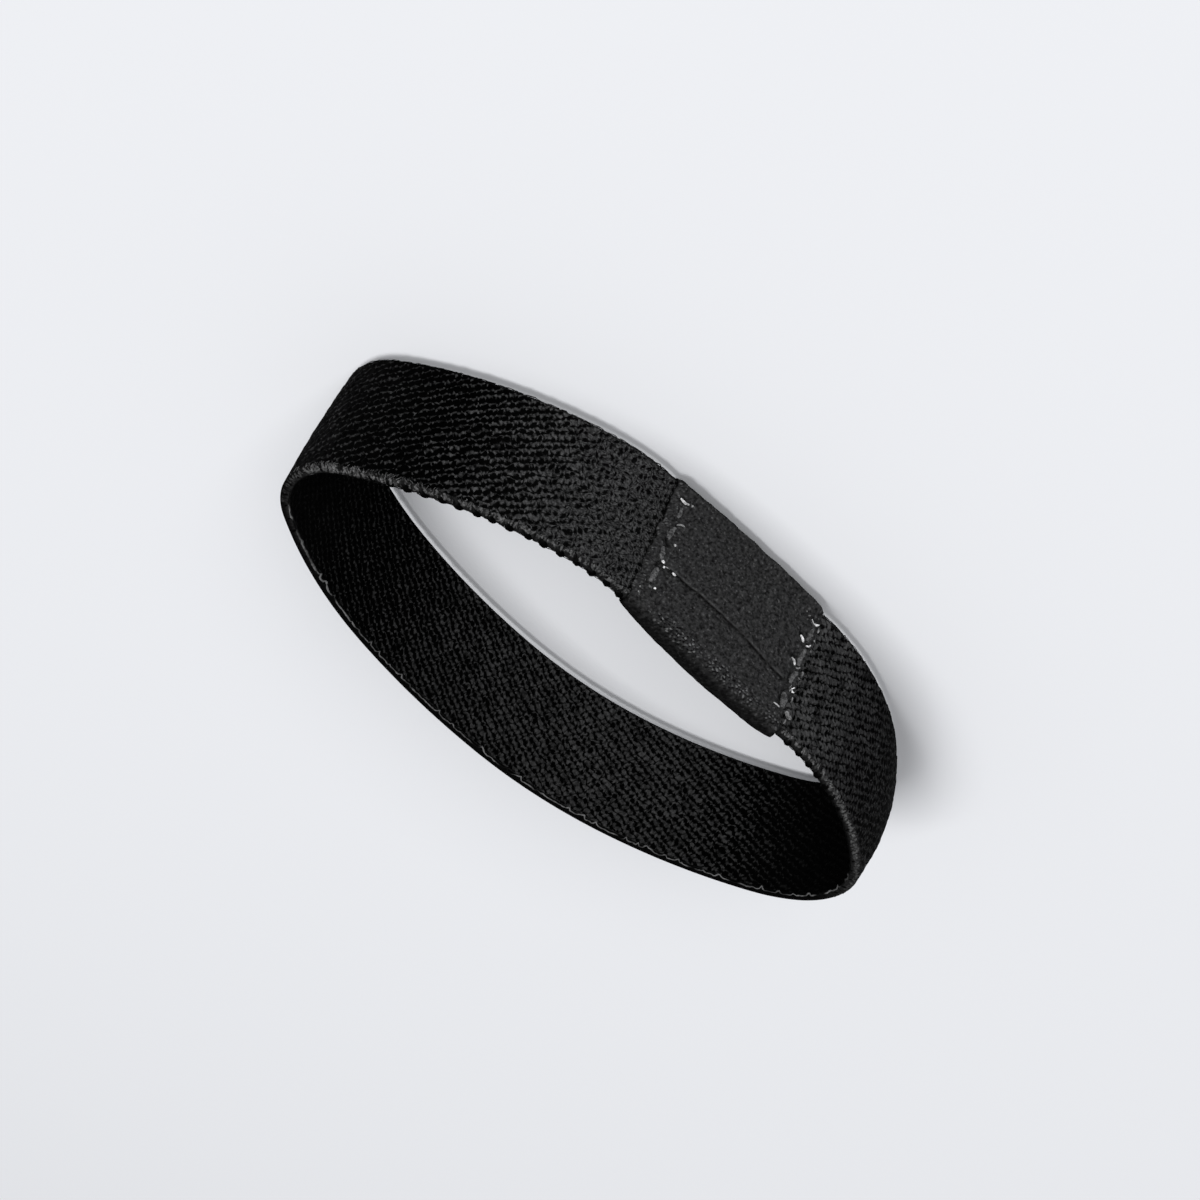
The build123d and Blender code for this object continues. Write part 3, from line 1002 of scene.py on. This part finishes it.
def label_sleeve():
    """Folded label: a tube of cloth round the webbing, its lap's free edge on the outer face."""
    share = np.linspace(0, 1, label_columns)
    sections = label_sections(share)
    offset, z = sections[..., 0], sections[..., 1]
    x = label_lengthwise(share, z)
    outside = offset > 0
    end_distance = np.minimum(share, 1 - share)[:, None] * label_length
    pull = seam_pull(x, z) + 0.22 * mm * smooth(0.7 * mm, 0.0, end_distance)
    ripple = 0.05 * mm * drift(x, z, 33, 4 * mm) + 0.02 * mm * drift(x, z, 34, 1.2 * mm)
    offset = offset + np.sign(offset) * ripple - np.where(outside, pull, -0.5 * pull)
    skin = np.stack([x, loop_front - offset, z], axis=-1)
    lining_offset = np.maximum(np.abs(offset) - label_back_wall, band_skin + 0.03 * mm)
    lining_z = np.clip(z, band_bottom - 0.08 * mm, band_top + 0.08 * mm)
    lining = np.stack([x, loop_front - np.sign(offset) * lining_offset, lining_z], axis=-1)
    count = offset.shape[1]
    shift = label_columns * count
    around = quads(label_columns, count)
    faces = around + [[shift + k for k in face[::-1]] for face in around]
    last = shift - count
    for k in range(count):
        after = (k + 1) % count
        faces.append([k, after, shift + after, shift + k])
        faces.append([last + after, last + k, shift + last + k, shift + last + after])
    steps_round = np.hypot(*np.diff(sections[label_columns // 2], axis=0).T)
    round_it = np.concatenate([[0], np.cumsum(steps_round)])
    uv = np.stack(np.broadcast_arrays(x / mm, round_it / mm), axis=-1)
    lap = lap_edge(share)[:, None]
    blank = np.zeros_like(x)
    fold = np.stack([label_folds(x, z, lap, outside), blank + 1])
    specks = np.stack([label_specks(x, z, outside), blank])
    ridge = np.stack([label_ridge(x, z, lap), blank])
    piece = new_piece("label", "label_cloth", np.stack([skin, lining]), faces, [woven_label()],
                      np.stack([uv, uv]), fold=fold, specks=specks, ridge=ridge)
    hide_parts("label_sleeve")
    return piece, (label_length, round_it[-1])


def seam(name, stitches, tone, level):
    """Stitches of one kind at one end of the label, half sunk into its face."""
    parts = []
    for kind, radius, *places in stitches:
        if kind != tone:
            continue
        corners = np.array(places) * mm
        fineness = 9 if tone == bar else 4
        fine = np.linspace(0, len(corners) - 1, fineness * len(corners) + 1)
        x, z = (np.interp(fine, np.arange(len(corners)), column) for column in corners.T)
        swell = np.sqrt(np.sin(np.pi * np.linspace(0.04, 0.96, len(fine))))
        rise = -1 if tone == bar else 2 * swell - 1
        y = loop_front - face_height(x, z) - 0.25 * radius * rise * mm
        if tone == bar:
            swell = swell * (1.08 + 0.26 * drift(x, z, 51, 0.35 * mm))
            x = x + 0.05 * mm * drift(x, z, 52, 0.5 * mm)
        parts.append(tube(np.stack([x, y, z], axis=1), radius * mm * (0.35 + 0.65 * swell), 8))
    return thread_piece(name, "label_cloth", parts, thread(name + "_thread", level, 0.3))


# Floor, lights and camera

def floor():
    """Pale floor under the band."""
    size = 3.0
    mesh = bpy.data.meshes.new("floor")
    corners = [(-size, -size, 0), (size, -size, 0), (size, size, 0), (-size, size, 0)]
    mesh.from_pydata(corners, [], [(0, 1, 2, 3)])
    piece = in_scene("floor", mesh)
    n = Nodes("floor")
    n.shader.inputs["Base Color"].default_value = (0.775, 0.785, 0.81, 1)
    n.shader.inputs["Roughness"].default_value = 1.0
    n.shader.inputs["Specular IOR Level"].default_value = 0.0
    mesh.materials.append(n.material)


def softbox(name, azimuth, elevation, distance, size, power):
    """Square soft light that faces the band; azimuth from -Y towards +X."""
    lamp = bpy.data.lights.new(name, "AREA")
    lamp.size = size
    lamp.energy = power
    light = in_scene(name, lamp)
    away = view_direction(math.radians(azimuth), math.radians(elevation))
    light.location = camera_target + away * distance
    light.rotation_euler = away.to_track_quat("Z", "Y").to_euler()


def view_direction(azimuth, elevation):
    """Direction from the band towards a viewer or a light."""
    level = math.cos(elevation)
    return Vector((level * math.sin(azimuth), -level * math.cos(azimuth), math.sin(elevation)))


def camera():
    """Camera at the photograph's angle to the band."""
    data = bpy.data.cameras.new("camera")
    data.sensor_width = sensor
    data.lens = sensor * focal_share
    data.clip_start = 0.01
    eye = in_scene("camera", data)
    back = view_direction(camera_azimuth, camera_elevation)
    right = Vector((math.cos(camera_azimuth), math.sin(camera_azimuth), 0))
    up = back.cross(right)
    rolled_right = right * math.cos(camera_roll) + up * math.sin(camera_roll)
    rolled_up = up * math.cos(camera_roll) - right * math.sin(camera_roll)
    turned = Matrix((rolled_right, rolled_up, back)).transposed().to_4x4()
    eye.matrix_world = Matrix.Translation(camera_target + back * camera_distance) @ turned
    bpy.context.scene.camera = eye


def studio():
    """Even pale surroundings, a soft key light on the label's side and a softer one above."""
    world = bpy.data.worlds.new("studio")
    bpy.context.scene.world = world
    world.use_nodes = True
    background = world.node_tree.nodes["Background"].inputs
    background["Color"].default_value = (0.96, 0.97, 1.0, 1)
    background["Strength"].default_value = 0.25
    softbox("key", azimuth=15, elevation=32, distance=2.0, size=1.0, power=20.0)
    softbox("overhead", azimuth=90, elevation=72, distance=2.0, size=1.0, power=27.0)
    bpy.context.scene.view_settings.view_transform = "Standard"


camera()
floor()
studio()
webbing()
rim_turns()
rim_wefts()
rim_hairs()
corner_line("rim_line_inside", -1, band_top - 0.05 * mm, dip=-0.34 * mm, level=104, seed=41)
corner_line("rim_line_outside", 1, band_bottom + 0.05 * mm, dip=0.42 * mm, level=90, seed=42)
label, label_flat = label_sleeve()
for side_name, stitches in (("left", stitches_left), ("right", stitches_right)):
    for tone, level in ((bar, 82), (pale, 112), (white, 200)):
        seam(f"{side_name}_{tone}_stitches", stitches, tone, level).name
